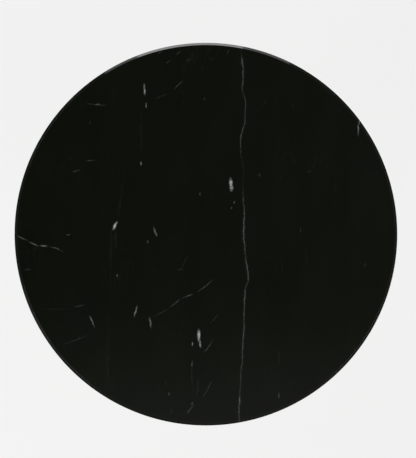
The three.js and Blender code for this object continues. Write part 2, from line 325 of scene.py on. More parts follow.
# Long veins that run with the stone's bed, towards +Y: (along, across) in metres, how wide, and how
# strongly each shows along its run as (along, strength).
LONG_VEINS = [
    {
        "path": [(0.46, 0.080), (0.406, 0.086), (0.345, 0.086), (0.326, 0.090), (0.298, 0.092),
                 (0.249, 0.088), (0.190, 0.081), (0.172, 0.086), (0.133, 0.088), (0.084, 0.088),
                 (0.050, 0.089), (0.020, 0.088), (-0.026, 0.092), (-0.060, 0.095), (-0.104, 0.098),
                 (-0.125, 0.092), (-0.200, 0.090), (-0.280, 0.086), (-0.391, 0.079), (-0.46, 0.078)],
        "show": [(0.46, 0.02), (0.420, 0.04), (0.403, 0.22), (0.385, 0.12), (0.368, 0.20),
                 (0.350, 0.17), (0.326, 0.10), (0.27, 0.13), (0.227, 0.16), (0.201, 0.09),
                 (0.170, 0.035), (0.105, 0.03), (0.082, 0.15), (0.070, 0.10), (0.037, 0.24),
                 (-0.010, 0.24), (-0.045, 0.12), (-0.078, 0.22), (-0.104, 0.20), (-0.125, 0.11),
                 (-0.149, 0.20), (-0.175, 0.15), (-0.240, 0.17), (-0.290, 0.11), (-0.330, 0.07),
                 (-0.375, 0.11), (-0.398, 0.26), (-0.415, 0.14), (-0.46, 0.12)],
        "width": 0.0014,
    },
    {
        "path": [(0.30, -0.151), (0.204, -0.151)],
        "show": [(0.31, 0.0), (0.28, 0.006), (0.225, 0.014), (0.19, 0.0)],
        "width": 0.0024,
    },
    {
        "path": [(0.145, -0.191), (0.032, -0.206)],
        "show": [(0.16, 0.0), (0.12, 0.009), (0.06, 0.012), (0.03, 0.0)],
        "width": 0.0024,
    },
    {
        "path": [(-0.04, -0.222), (-0.344, -0.232)],
        "show": [(0.02, 0.0), (-0.02, 0.014), (-0.08, 0.005), (-0.25, 0.005), (-0.29, 0.014), (-0.36, 0.0)],
        "width": 0.0026,
    },
]

# Short veins and flecks: middle x and y, length, width, lean from +X towards +Y in degrees, strength.
SHORT_VEINS = [
    (0.058, 0.119, 0.032, 0.0112, 97, 1.10),
    (0.059, 0.108, 0.020, 0.0120, 80, 1.00),
    (0.067, 0.076, 0.010, 0.0040, 60, 0.26),
    (0.060, 0.060, 0.009, 0.0035, 80, 0.22),
    (-0.212, 0.018, 0.031, 0.0080, 66, 0.85),
    (-0.212, -0.015, 0.060, 0.0090, 88, 0.018),
    (-0.121, 0.008, 0.028, 0.0064, 104, 0.38),
    (-0.118, 0.001, 0.014, 0.0050, 90, 0.40),
    (-0.137, -0.017, 0.010, 0.0045, 90, 0.32),
    (-0.017, -0.238, 0.040, 0.0100, 95, 1.10),
    (-0.013, -0.258, 0.020, 0.0070, 90, 0.80),
    (-0.164, -0.180, 0.038, 0.0058, 72, 0.46),
    (-0.130, -0.207, 0.034, 0.0058, 99, 0.42),
    (-0.145, 0.340, 0.031, 0.0058, 95, 0.70),
    (-0.141, 0.303, 0.014, 0.0046, 92, 0.52),
    (-0.153, 0.165, 0.013, 0.0046, 90, 0.50),
    (-0.208, -0.097, 0.012, 0.0044, 90, 0.22),
    (-0.032, -0.257, 0.012, 0.0042, 90, 0.42),
    (-0.034, -0.303, 0.018, 0.0044, 92, 0.27),
    (0.359, 0.245, 0.038, 0.0040, 90, 0.42),
    (0.360, 0.262, 0.014, 0.0050, 90, 0.50),
    (0.347, -0.266, 0.012, 0.0030, 90, 0.05),
    (0.126, 0.140, 0.012, 0.0050, 95, 0.09),
    (-0.003, 0.317, 0.009, 0.0038, 90, 0.10),
    (-0.013, 0.096, 0.012, 0.0036, 80, 0.12),
    (-0.088, -0.376, 0.010, 0.0046, 90, 0.22),
    (0.173, -0.379, 0.022, 0.0046, 92, 0.12),
    (-0.431, -0.010, 0.034, 0.0034, -20, 0.22),
    (-0.403, -0.022, 0.034, 0.0036, -22, 0.24),
    (-0.380, -0.027, 0.026, 0.0040, -6, 0.28),
    (-0.350, -0.036, 0.040, 0.0036, -20, 0.24),
    (-0.417, -0.082, 0.018, 0.0044, 2, 0.08),
    (-0.323, -0.003, 0.014, 0.0046, 4, 0.16),
    (-0.258, 0.304, 0.062, 0.0036, -4, 0.10),
    (-0.256, 0.305, 0.018, 0.0050, 6, 0.26),
    (-0.272, 0.174, 0.032, 0.0038, 4, 0.09),
    (-0.303, 0.149, 0.030, 0.0042, 16, 0.13),
    (-0.299, -0.168, 0.036, 0.0036, 18, 0.085),
    (-0.350, -0.176, 0.080, 0.0036, 0, 0.015),
    (-0.268, -0.203, 0.040, 0.0042, -62, 0.32),
    (-0.306, -0.248, 0.100, 0.0034, 21, 0.040),
    (-0.298, -0.243, 0.010, 0.0040, 60, 0.10),
    (-0.105, -0.184, 0.054, 0.0034, 24, 0.07),
    (-0.071, -0.162, 0.040, 0.0034, 42, 0.13),
    (-0.044, -0.145, 0.036, 0.0034, 22, 0.14),
    (-0.003, -0.121, 0.060, 0.0034, 38, 0.14),
    (0.006, -0.263, 0.056, 0.0036, 52, 0.10),
    (0.018, -0.199, 0.040, 0.0034, 50, 0.06),
    (0.003, -0.364, 0.066, 0.0036, 59, 0.065),
    (-0.038, -0.410, 0.034, 0.0044, 45, 0.13),
    (-0.034, -0.398, 0.012, 0.0050, 60, 0.14),
    (-0.104, 0.324, 0.046, 0.0034, 24, 0.045),
    (-0.064, 0.351, 0.040, 0.0034, 40, 0.12),
    (-0.048, -0.060, 0.054, 0.0034, 60, 0.035),
    (-0.061, -0.081, 0.018, 0.0044, 20, 0.06),
    (-0.107, 0.425, 0.016, 0.0040, 40, 0.07),
    (-0.088, 0.404, 0.020, 0.0040, 35, 0.08),
    (-0.064, 0.427, 0.022, 0.0036, 50, 0.08),
    (-0.043, 0.410, 0.018, 0.0036, 30, 0.06),
    (0.051, 0.428, 0.020, 0.0040, 58, 0.07),
    (-0.033, -0.330, 0.090, 0.0040, 92, 0.035),
    (-0.020, -0.360, 0.060, 0.0040, 86, 0.030),
    (0.171, -0.290, 0.055, 0.0060, 90, 0.022),
    (0.373, -0.072, 0.016, 0.0060, 80, 0.040),
    (0.222, 0.010, 0.016, 0.0044, 90, 0.050),
    (0.236, -0.050, 0.044, 0.0036, 96, 0.018),
    (0.178, -0.078, 0.036, 0.0034, 90, 0.020),
    (0.243, 0.147, 0.018, 0.0050, 8, 0.026),
    (0.174, 0.131, 0.022, 0.0038, 66, 0.020),
    (0.138, 0.308, 0.022, 0.0040, 60, 0.028),
    (0.205, 0.300, 0.010, 0.0040, 90, 0.026),
    (-0.272, 0.262, 0.012, 0.0044, 60, 0.050),
    (-0.095, -0.352, 0.010, 0.0044, 80, 0.060),
    (-0.082, -0.414, 0.016, 0.0040, 90, 0.070),
]

STONE_REACH = 0.46  # metres from the middle that the veins' curves cover
VEIN_PALE = (0.54, 0.61, 0.575, 1)
BODY_BLACKS = [(0.0062, 0.0075, 0.0043, 1), (0.0073, 0.0088, 0.0052, 1)]
BODY_GREEN = (0.0058, 0.0083, 0.0056, 1)
GHOST_VEINS = 0.008


def wander(tree, place, scale, reach, **grain):
    """A shift in any direction of up to half the reach, which drifts from place to place."""
    drift = noise(tree, place, scale, output="Color", **grain)
    shift = combine_vectors(tree, "SUBTRACT", drift, (0.5, 0.5, 0.5))
    return combine_vectors(tree, "MULTIPLY", shift, (reach, reach, 0))


def curve_through(tree, along, points, low, high):
    """A value that follows given points of (along, value), with values between low and high."""
    share = spread(tree, along, -STONE_REACH, STONE_REACH)
    made = node(tree, "FloatCurve", {"Value": share})
    curve = made.mapping.curves[0]
    spots = sorted(((a + STONE_REACH) / (2 * STONE_REACH), (v - low) / (high - low)) for a, v in points)
    curve.points[0].location = spots[0]
    curve.points[1].location = spots[-1]
    for spot in spots[1:-1]:
        curve.points.new(*spot)
    made.mapping.update()
    return spread(tree, made.outputs["Value"], 0, 1, low, high)


def long_vein(tree, along, across, path, show, width):
    """How strongly a long vein colours each point: a bright thread inside a faint haze."""
    middles = [a for _, a in path]
    centre = curve_through(tree, along, path, min(middles) - 0.001, max(middles) + 0.001)
    off = combine(tree, "ABSOLUTE", combine(tree, "SUBTRACT", across, centre))
    thread = spread(tree, off, width * 0.35, width * 1.1, 1, 0, "SMOOTHSTEP")
    haze = spread(tree, off, 0, width * 4.5, 0.07, 0, "SMOOTHSTEP")
    strength = curve_through(tree, along, show, 0, 1)
    return combine(tree, "MULTIPLY", combine(tree, "MAXIMUM", thread, haze), strength)


def short_vein_group():
    """Node group: lays one short vein, a spindle brightest in its middle, over the veins so far."""
    group = bpy.data.node_groups.new("short_vein", "ShaderNodeTree")
    for name, kind in (
        ("Point", "Vector"), ("Middle", "Vector"), ("Lean", "Vector"), ("Half", "Vector"),
        ("Strength", "Float"), ("Veins", "Float"),
    ):
        group.interface.new_socket(name, in_out="INPUT", socket_type="NodeSocket" + kind)
    group.interface.new_socket("Veins", in_out="OUTPUT", socket_type="NodeSocketFloat")
    given = group.nodes.new("NodeGroupInput").outputs
    spindle = {"Location": given["Middle"], "Rotation": given["Lean"], "Scale": given["Half"]}
    laid = node(group, "Mapping", {"Vector": given["Point"], **spindle}, vector_type="TEXTURE")
    off = node(group, "VectorMath", {0: laid.outputs["Vector"]}, operation="LENGTH")
    shade = spread(group, off.outputs["Value"], 0.15, 1, 1, 0, "SMOOTHSTEP")
    shade = combine(group, "MULTIPLY", shade, given["Strength"])
    out = group.nodes.new("NodeGroupOutput")
    group.links.new(combine(group, "MAXIMUM", shade, given["Veins"]), out.inputs["Veins"])
    return group


def polished_marble():
    """Mottled black stone with its veins, ground and polished to a mirror with a slight waver."""
    finish, tree, sockets, place = new_finish("polished_marble", 0.08)
    flat = combine_vectors(tree, "MULTIPLY", place, (1, 1, 0))

    # The veins wander by a millimetre or two off the line that they follow.
    swayed = combine_vectors(tree, "ADD", flat, wander(tree, place, 22, 0.010, detail=2))
    swayed = combine_vectors(tree, "ADD", swayed, wander(tree, place, 160, 0.0045, detail=3, rough=0.65))
    split = node(tree, "SeparateXYZ", {"Vector": swayed})
    across, along = split.outputs["X"], split.outputs["Y"]

    veins = 0.0
    for vein in LONG_VEINS:
        veins = combine(tree, "MAXIMUM", long_vein(tree, along, across, **vein), veins)
    short_vein = short_vein_group()
    for x, y, length, width, lean, strength in SHORT_VEINS:
        added = node(tree, "Group")
        added.node_tree = short_vein
        added.inputs["Middle"].default_value = (x, y, 0)
        added.inputs["Lean"].default_value = (0, 0, math.radians(lean))
        added.inputs["Half"].default_value = (length / 2, width / 2, 1)
        added.inputs["Strength"].default_value = strength
        tree.links.new(swayed, added.inputs["Point"])
        tree.links.new(veins, added.inputs["Veins"])
        veins = added.outputs["Veins"]

    # Calcite fills a crack unevenly, so each vein is broken into brighter and fainter beads.
    beads = noise(tree, place, 125, detail=4, rough=0.65)
    veins = combine(tree, "MULTIPLY", veins, spread(tree, beads, 0.36, 0.64, 0.25, 1.2))

    # Ghosts of hairlines all over, drawn out along the bed, and the mottled black body.
    ghost = noise(tree, swayed, 15, detail=3, rough=0.5, stretch=(1, 0.4, 1))
    ghost = combine(tree, "ABSOLUTE", combine(tree, "SUBTRACT", ghost, 0.5))
    ghost_show = spread(tree, noise(tree, place, 8, detail=2), 0.50, 0.66, 0, GHOST_VEINS)
    ghost = combine(tree, "MULTIPLY", spread(tree, ghost, 0, 0.008, 1, 0, "SMOOTHSTEP"), ghost_show)
    veins = combine(tree, "MAXIMUM", veins, ghost)
    body = noise(tree, place, 16, detail=4, stretch=(1, 0.3, 1))
    tint = noise(tree, place, 5, detail=3)
    cloud = blend_colours(tree, spread(tree, body, 0.36, 0.66), *BODY_BLACKS)
    cloud = blend_colours(tree, spread(tree, tint, 0.50, 0.70, 0, 0.5), cloud, BODY_GREEN)
    colour(tree, sockets, veins, cloud, VEIN_PALE)

    shine = noise(tree, place, 45, detail=4, rough=0.6)
    roughen(tree, sockets, shine, 0.06, 0.10)
    bump(tree, sockets, noise(tree, place, 420, detail=2), 0.000003)
    return finish


def sawn_marble():
    """The underside: grey with stone dust, with the faint straight marks of the saw."""
    finish, tree, sockets, place = new_finish("sawn_marble", 0.6)
    saw = node(
        tree, "TexWave", {"Vector": place, "Scale": 38, "Distortion": 1.2, "Detail": 2}, bands_direction="Y"
    ).outputs["Fac"]
    dust = noise(tree, place, 60, detail=5, rough=0.65)
    grey = combine(tree, "ADD", graded(tree, dust, 0, 0.7), spread(tree, saw, 0, 1, 0, 0.3))
    colour(tree, sockets, grey, (0.022, 0.024, 0.022, 1), (0.052, 0.056, 0.052, 1))
    roughen(tree, sockets, dust, 0.5, 0.72)
    bump(tree, sockets, combine(tree, "ADD", dust, saw), 0.00012)
    return finish


slab_low, slab_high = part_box("marble_top")
slab = turned(
    "marble_slab",
    eased(
        [
            (0, slab_low.z),
            (slab_high.x - UNDER_ARRIS, slab_low.z, 0.0005),
            (slab_high.x, slab_low.z + UNDER_ARRIS, 0.0005),
            (slab_high.x, slab_high.z - BEVEL_DROP, 0.0007),
            (slab_high.x - BEVEL_WIDTH, slab_high.z, 0.0009),
            (0, slab_high.z),
        ]
    ),
    256,
)
slab.data.materials.append(polished_marble())
slab.data.materials.append(sawn_marble())
for face in slab.data.polygons:
    face.material_index = 1 if face.normal.z < -LEVEL else 0
smooth(slab)
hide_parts("marble_top")
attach(slab, "table")


# ---- Plywood sub-top ------------------------------------------------------------------------------
# A disc of 18 mm birch plywood with a routed lower edge, clear lacquered. The stone is bonded to its
# face, and six brass inserts in its underside take the screws of the plate.

PLY_CHAMFER = 0.007
PLY_COUNT = 13
SEAM = 0.0003  # clearance between pieces that meet
WELD = 5e-6  # a cut's points closer than this are one
SLIVER = 2e-6  # a cut's edges shorter than this are closed up
CUT_PAST = 0.001  # how far a drill bit reaches past the face that it opens


def centre_of(cad_node):
    """The middle of a CAD node, seen from above."""
    low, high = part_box(cad_node)
    return (low.x + high.x) / 2, (low.y + high.y) / 2


def drill(piece, tools):
    """Cuts the tools' shapes out of a piece, clears the cut's slivers, and removes the tools."""
    for tool in tools:
        cutting = piece.modifiers.new("drill", "BOOLEAN")
        cutting.operation = "DIFFERENCE"
        cutting.solver = "EXACT"
        cutting.object = tool
    bpy.context.view_layer.update()
    cut_mesh = bpy.data.meshes.new_from_object(piece.evaluated_get(bpy.context.evaluated_depsgraph_get()))
    cut_mesh.name = piece.name
    made = bmesh.new()
    made.from_mesh(cut_mesh)
    bmesh.ops.remove_doubles(made, verts=made.verts, dist=WELD)
    bmesh.ops.dissolve_degenerate(made, edges=made.edges, dist=SLIVER)
    made.to_mesh(cut_mesh)
    made.free()
    piece.modifiers.clear()
    piece.data = cut_mesh
    for tool in tools:
        bpy.data.objects.remove(tool)


def straight_bit(radius, low, high):
    """The outline of a bit that drills a plain round hole."""
    return [(0, low), (radius, low), (radius, high), (0, high)]


def drill_bits(cad_nodes, outline, around=32):
    """A bit over the middle of each node, turned a little so that no edge falls on the piece's own."""
    bits = []
    for cad_node in cad_nodes:
        bit = turned("bit", outline, around)
        bit.location = (*centre_of(cad_node), 0)
        bit.rotation_euler.z = math.tau / around / 3
        bits.append(bit)
    return bits


def numbered(name, count):
    """The names of like pieces, counted from 1."""
    return [f"{name}_{i + 1}" for i in range(count)]


def birch_face():
    """Rotary-cut birch veneer under clear lacquer, with its grain along X."""
    finish, tree, sockets, place = new_finish("birch_face", 0.42)
    drift = noise(tree, place, 3.5, detail=2, stretch=(0.35, 1, 1))
    grain = noise(tree, place, 240, detail=5, rough=0.6, stretch=(0.03, 1, 1))
    rings = node(
        tree, "TexWave", {"Vector": place, "Scale": 9, "Distortion": 9, "Detail": 3, "Detail Scale": 0.6},
        bands_direction="Y",
    ).outputs["Fac"]
    figure = combine(tree, "ADD", spread(tree, rings, 0, 1, 0, 0.35), graded(tree, grain, 0, 0.4))
    figure = combine(tree, "ADD", figure, graded(tree, drift, 0, 0.25))
    colour(tree, sockets, figure, (0.62, 0.43, 0.25, 1), (0.43, 0.26, 0.13, 1))
    roughen(tree, sockets, grain, 0.36, 0.5)
    bump(tree, sockets, grain, 0.00006)
    return finish


def birch_edge(bottom, top):
    """The plies end on at the rim: long grain pale and end grain dark, in turn, with dark glue lines."""
    finish, tree, sockets, place = new_finish("birch_edge", 0.5)
    height = node(tree, "SeparateXYZ", {"Vector": place}).outputs["Z"]
    wobble = noise(tree, place, 14, detail=2)
    height = combine(tree, "ADD", height, spread(tree, wobble, 0, 1, -0.00015, 0.00015))
    level = spread(tree, height, bottom, top, 0, PLY_COUNT)
    turn = combine(tree, "PINGPONG", level, 1.0)
    odd = spread(tree, combine(tree, "PINGPONG", level, 2.0), 0.97, 1.03)
    glue = spread(tree, turn, 0.0, 0.10, 1, 0)
    pores = noise(tree, place, 900, detail=3)
    grain = noise(tree, place, 150, detail=4, stretch=(1, 1, 9))
    pale = blend_colours(tree, grain, (0.60, 0.42, 0.25, 1), (0.48, 0.31, 0.17, 1))
    dark = blend_colours(tree, pores, (0.40, 0.23, 0.11, 1), (0.24, 0.13, 0.06, 1))
    wood = blend_colours(tree, odd, pale, dark)
    colour(tree, sockets, glue, wood, (0.10, 0.045, 0.02, 1))
    roughen(tree, sockets, pores, 0.42, 0.6)
    relief = combine(tree, "SUBTRACT", spread(tree, pores, 0, 1, 0, 0.6), combine(tree, "MULTIPLY", odd, 0.3))
    bump(tree, sockets, relief, 0.0001)
    return finish


ply_low, ply_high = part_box("plywood_subtop")
insert_low, insert_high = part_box("threaded_insert_1")
insert_radius = (insert_high.x - insert_low.x) / 2
subtop = turned(
    "birch_subtop",
    eased(
        [
            (0, ply_low.z),
            (ply_high.x - PLY_CHAMFER, ply_low.z, 0.0008),
            (ply_high.x, ply_low.z + PLY_CHAMFER, 0.0008),
            (ply_high.x, ply_high.z, 0.0006),
            (0, ply_high.z),
        ]
    ),
    192,
)
insert_hole = straight_bit(insert_radius + SEAM, ply_low.z - CUT_PAST, insert_high.z + SEAM)
subtop.data.materials.append(birch_face())
subtop.data.materials.append(birch_edge(ply_low.z, ply_high.z))
drill(subtop, drill_bits(numbered("threaded_insert", 6), insert_hole))
for face in subtop.data.polygons:
    face.material_index = 0 if abs(face.normal.z) > LEVEL else 1
smooth(subtop)
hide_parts("plywood_subtop")
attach(subtop, "table")


# ---- Threaded inserts -----------------------------------------------------------------------------
# Six brass bushes pressed and glued into the plywood, knurled outside so that they can't turn, with
# an M8 bore.

KNURLS = 24
KNURL_DEPTH = 0.0003
INSERT_BORE = 0.0043
INSERT_CHAMFER = 0.0006
INSERT_LIP = 0.0016  # plain ring below the knurl
KNURL_RUNOUT = 0.0004
INSERT_LEAD = {"tall": 0.0014, "deep": 0.0008}  # taper that starts it into its hole


def brass():
    """Turned brass, dulled in patches and finely lined by the lathe."""
    finish, tree, sockets, place = new_finish("turned_brass", 0.3, metallic=1.0)
    tarnish = noise(tree, place, 190, detail=4, rough=0.6)
    colour(tree, sockets, spread(tree, tarnish, 0.35, 0.7), (0.72, 0.48, 0.17, 1), (0.50, 0.29, 0.09, 1))
    roughen(tree, sockets, tarnish, 0.24, 0.42)
    bump(tree, sockets, noise(tree, place, 1500, stretch=(1, 1, 6)), 0.00003)
    return finish


def placed_copies(name, first, cad_nodes, bodies):
    """Copies of a piece at each node's place, each riding on its own body and standing for its node."""
    for i, (cad_node, body) in enumerate(zip(cad_nodes, bodies)):
        piece = first if i == 0 else bpy.data.objects.new(name, first.data)
        piece.name = f"{name}_{i + 1}"
        if i:
            bpy.context.scene.collection.objects.link(piece)
            let_flat_faces_rule(piece)
        piece.location = (*centre_of(cad_node), 0)
        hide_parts(cad_node)
        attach(piece, body)


def insert_outline(angle):
    knurl = insert_radius - KNURL_DEPTH * (0.5 - 0.5 * math.cos(angle * KNURLS))
    lip_top = insert_low.z + INSERT_LIP
    return [
        (INSERT_BORE, insert_low.z),
        (insert_radius - INSERT_CHAMFER, insert_low.z),
        (insert_radius, insert_low.z + INSERT_CHAMFER),
        (insert_radius, lip_top),
        (knurl, lip_top + KNURL_RUNOUT),
        (knurl, insert_high.z - INSERT_LEAD["tall"]),
        (insert_radius - INSERT_LEAD["deep"], insert_high.z),
        (INSERT_BORE, insert_high.z),
    ]


insert = turned("brass_insert", insert_outline, KNURLS * 4)
insert.data.materials.append(brass())
smooth(insert)
placed_copies("brass_insert", insert, numbered("threaded_insert", 6), ["table"] * 6)


# ---- Mounting plate -------------------------------------------------------------------------------
# A laser-cut disc of 6 mm steel, powder coated satin black. Six plain holes take the screws into the
# plywood, four countersunk ones the screws into the head, and the middle hole gives reach to the rod.

PLATE_ROUND = 0.001
ACCESS_RADIUS = 0.028
SCREW_HOLE = 0.00445
SINK_RADIUS = 0.00845
SINK_RIM = 0.00045  # upright wall above the countersink's cone


def black_powder_coat():
    """Satin black powder coat: a fine orange-peel skin over the steel."""
    finish, tree, sockets, place = new_finish("black_powder_coat", 0.4)
    peel = noise(tree, place, 900, detail=2, rough=0.5)
    grit = node(tree, "TexVoronoi", {"Vector": place, "Scale": 1900}).outputs["Distance"]
    haze = noise(tree, place, 12, detail=4)
    cloud = graded(tree, haze)
    colour(tree, sockets, cloud, (0.0105, 0.0105, 0.011, 1), (0.0145, 0.0145, 0.015, 1))
    rough = graded(tree, haze, 0.33, 0.40)
    rough = combine(tree, "ADD", rough, graded(tree, peel, 0, 0.05))
    tree.links.new(rough, sockets["Roughness"])
    skin = combine(tree, "ADD", peel, spread(tree, grit, 0, 1, 0, 0.35))
    bump(tree, sockets, skin, 0.00012)
    return finish


powder_coat = black_powder_coat()

plate_low, plate_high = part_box("mounting_plate")
plate = turned(
    "steel_plate",
    eased(
        [
            (ACCESS_RADIUS, plate_low.z, 0.0005),
            (plate_high.x, plate_low.z, PLATE_ROUND),
            (plate_high.x, plate_high.z, PLATE_ROUND),
            (ACCESS_RADIUS, plate_high.z, 0.0005),
        ]
    ),
    160,
)
plain_hole = straight_bit(SCREW_HOLE, plate_low.z - CUT_PAST, plate_high.z + CUT_PAST)
cone_top = plate_high.z - SINK_RIM
sunk_hole = [
    *plain_hole[:2],
    (SCREW_HOLE, cone_top - (SINK_RADIUS - SCREW_HOLE)),
    (SINK_RADIUS, cone_top),
    (SINK_RADIUS, plate_high.z + CUT_PAST),
    (0, plate_high.z + CUT_PAST),
]
plate.data.materials.append(powder_coat)
plain_bits = drill_bits(numbered("plate_screw", 6), plain_hole)
sunk_bits = drill_bits(numbered("flange_screw", 4), sunk_hole)
drill(plate, plain_bits + sunk_bits)
smooth(plate)
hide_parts("mounting_plate")
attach(plate, "table")


# ---- Plate screws and washers ---------------------------------------------------------------------
# Six zinc-plated M8 hexagon screws, each on a stamped washer, driven up through the plate into the
# brass inserts.

M8_RADIUS = 0.004
M8_PITCH = 0.00125
M8_ACROSS = 0.013
M8_HEAD = 0.0053
RINGS_PER_TURN = 6
THREAD_DEPTH = 0.6  # of the pitch
THREAD_ROOT = 0.12  # of half the pitch, along the flat between two ridges
THREAD_FLANK = 0.72  # of half the pitch, up the side of a ridge
TURNED_FACE = 0.95  # of the width across the flats, where a chamfer begins
CORNER_SLOPE = math.radians(30)
BEARING_EDGE = 0.0002  # left at the corners of a face that bears on a washer


def zinc_plate():
    """Bright zinc plating: a cool grey skin, faintly spangled and cloudy."""
    finish, tree, sockets, place = new_finish("zinc_plate", 0.32, metallic=1.0)
    spangle = node(tree, "TexVoronoi", {"Vector": place, "Scale": 420}).outputs["Color"]
    cloud = noise(tree, place, 130, detail=4, rough=0.6)
    tint = blend_colours(tree, graded(tree, cloud), (0.56, 0.58, 0.61, 1), (0.42, 0.44, 0.45, 1))
    colour(tree, sockets, 0.04, tint, spangle)
    roughen(tree, sockets, cloud, 0.26, 0.40)
    bump(tree, sockets, noise(tree, place, 1400, detail=3), 0.00003)
    return finish


zinc = zinc_plate()


def hex_reach(across, angle):
    """How far a hexagon of this width across its flats reaches at an angle."""
    turn = (angle + math.pi / 6) % (math.pi / 3) - math.pi / 6
    return across / 2 / math.cos(turn)


def hexed(across, low, high, angle, high_chamfer=True):
    """The outer points of a hexagon between two heights, with its corners turned off."""
    reach = hex_reach(across, angle)
    face = across / 2 * TURNED_FACE
    drop = (reach - face) * math.tan(CORNER_SLOPE)
    return [
        (face, low),
        (reach, low + drop),
        (reach, high - (drop if high_chamfer else BEARING_EDGE)),
        (face, high),
    ]


def threaded(crest, pitch, low, high, angle):
    """Points up a screw thread, whose turns fade out at both ends."""
    core = crest - pitch * THREAD_DEPTH
    rings = round((high - low) / pitch * RINGS_PER_TURN)
    points = []
    for ring in range(rings + 1):
        z = low + (high - low) * ring / rings
        ridge = abs(((z / pitch - angle / math.tau) % 1) - 0.5) * 2
        ridge = min(max((ridge - THREAD_ROOT) / THREAD_FLANK, 0), 1)
        fade = min(1, (z - low) / pitch, (high - z) / pitch)
        points.append((core + (crest - core) * ridge * fade, z))
    return points


screw_low, screw_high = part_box("plate_screw_1")


def hex_screw_outline(angle):
    head_top = screw_low.z + M8_HEAD
    return [
        (0, screw_low.z),
        *hexed(M8_ACROSS, screw_low.z, head_top, angle, high_chamfer=False),
        *threaded(M8_RADIUS, M8_PITCH, head_top, screw_high.z, angle),
        (0, screw_high.z),
    ]


hex_screw = turned("hex_screw", hex_screw_outline, 24)
hex_screw.data.materials.append(zinc)
smooth(hex_screw)
placed_copies("hex_screw", hex_screw, numbered("plate_screw", 6), ["table"] * 6)

washer_low, washer_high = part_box("plate_washer_1")
washer_radius = (washer_high.x - washer_low.x) / 2
washer = turned(
    "flat_washer",
    eased(
        [
            (M8_RADIUS + SEAM, washer_low.z, 0.0002),
            (washer_radius, washer_low.z, 0.0004),
            (washer_radius, washer_high.z, 0.0002),
            (M8_RADIUS + SEAM, washer_high.z, 0.0002),
        ],
        steps=3,
    ),
    48,
)
washer.data.materials.append(zinc)
smooth(washer)
placed_copies("flat_washer", washer, numbered("plate_washer", 6), ["table"] * 6)


# ---- Head casting ---------------------------------------------------------------------------------
# The column's flared head, cast in iron, turned on its faces and powder coated. Its spigot fits the
# tube, a web inside takes the tie rod, and four tapped holes in its face take the flange screws.

HEAD_SHOULDER = 0.600
HEAD_LIP = 0.006
HEAD_FLARE = 3
FLARE_STEPS = 36
SPIGOT_RADIUS = 0.0347
WEB = {"bottom": 0.630, "top": 0.650, "bore": 0.0086, "pocket": 0.024}
TAPPED_M8 = 0.0043
TAPPED_DEPTH = 0.0117

head_low, head_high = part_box("head_casting")
tube_low, tube_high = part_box("column_tube")
tube_radius = tube_high.x
lip_bottom = head_high.z - HEAD_LIP
flare = []
for step in range(FLARE_STEPS + 1):
    share = step / FLARE_STEPS
    flare.append(
        (
            tube_radius + (head_high.x - tube_radius) * share**HEAD_FLARE,
            HEAD_SHOULDER + (lip_bottom - HEAD_SHOULDER) * share,
        )
    )
head = turned(
    "flared_head",
    eased(
        [
            (WEB["bore"], WEB["bottom"]),
            (WEB["pocket"], WEB["bottom"], 0.002),
            (WEB["pocket"], head_low.z, 0.0006),
            (SPIGOT_RADIUS, head_low.z, 0.0012),
            (SPIGOT_RADIUS, HEAD_SHOULDER),
            *flare,
            (head_high.x, head_high.z, 0.0015),
            (WEB["pocket"], head_high.z, 0.0008),
            (WEB["pocket"], WEB["top"], 0.002),
            (WEB["bore"], WEB["top"]),
        ]
    ),
    160,
)
tapped_hole = straight_bit(TAPPED_M8, head_high.z - TAPPED_DEPTH, head_high.z + CUT_PAST)
head.data.materials.append(powder_coat)
drill(head, drill_bits(numbered("flange_screw", 4), tapped_hole))
smooth(head)
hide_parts("head_casting")
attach(head, "table")


# ---- Flange screws --------------------------------------------------------------------------------
# Four countersunk M8 screws with a hexagon socket. They hold the plate to the head, and lie flush, so
# that the plywood sits flat over them.

SOCKET_ACROSS = 0.005
SOCKET_DEPTH = 0.0026
THREAD_GAP = 0.0004  # plain shank left under a countersunk head

flange_low, flange_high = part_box("flange_screw_1")
flange_radius = (flange_high.x - flange_low.x) / 2


def flange_screw_outline(angle):
    top = flange_high.z
    cone_bottom = top - SEAM - (flange_radius - M8_RADIUS)
    socket = hex_reach(SOCKET_ACROSS, angle)
    return [
        (0, flange_low.z),
        *threaded(M8_RADIUS, M8_PITCH, flange_low.z, cone_bottom - THREAD_GAP, angle),
        (M8_RADIUS, cone_bottom),
        (flange_radius, top - SEAM),
        (flange_radius, top),
        (socket, top),
        (socket, top - SOCKET_DEPTH),
        (0, top - SOCKET_DEPTH),
    ]


flange_screw = turned("socket_screw", flange_screw_outline, 24)
flange_screw.data.materials.append(zinc)
smooth(flange_screw)
placed_copies("socket_screw", flange_screw, numbered("flange_screw", 4), ["table"] * 4)


# ---- Column tube ----------------------------------------------------------------------------------
# Drawn steel tube, 76 mm across with a 3 mm wall, sawn square, deburred and powder coated. It stands
# on the weight and carries the head.

TUBE_WALL = 0.003

tube = turned(
    "steel_column",
    eased(
        [
            (tube_radius - TUBE_WALL, tube_low.z, 0.0004),
            (tube_radius, tube_low.z, 0.0006),
            (tube_radius, tube_high.z, 0.0006),
            (tube_radius - TUBE_WALL, tube_high.z, 0.0004),
        ],
        steps=3,
    ),
    128,
)
tube.data.materials.append(powder_coat)
smooth(tube)
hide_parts("column_tube")
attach(tube, "table")


# ---- Trumpet cover --------------------------------------------------------------------------------
# The foot's cover, spun from 2.2 mm steel sheet into a trumpet and powder coated. It slips down over
# the tube and hides the weight; the collar keeps it down.

COVER_WALL = 0.0022
COVER_RIM = 0.012  # top of the upright rim
COVER_FLARE = 4.2
COVER_STEPS = 64
COVER_CROWDING = 1.6  # sets the steps closer together towards the rim

cover_low, cover_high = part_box("base_cover")
neck_radius = tube_radius + SEAM + COVER_WALL


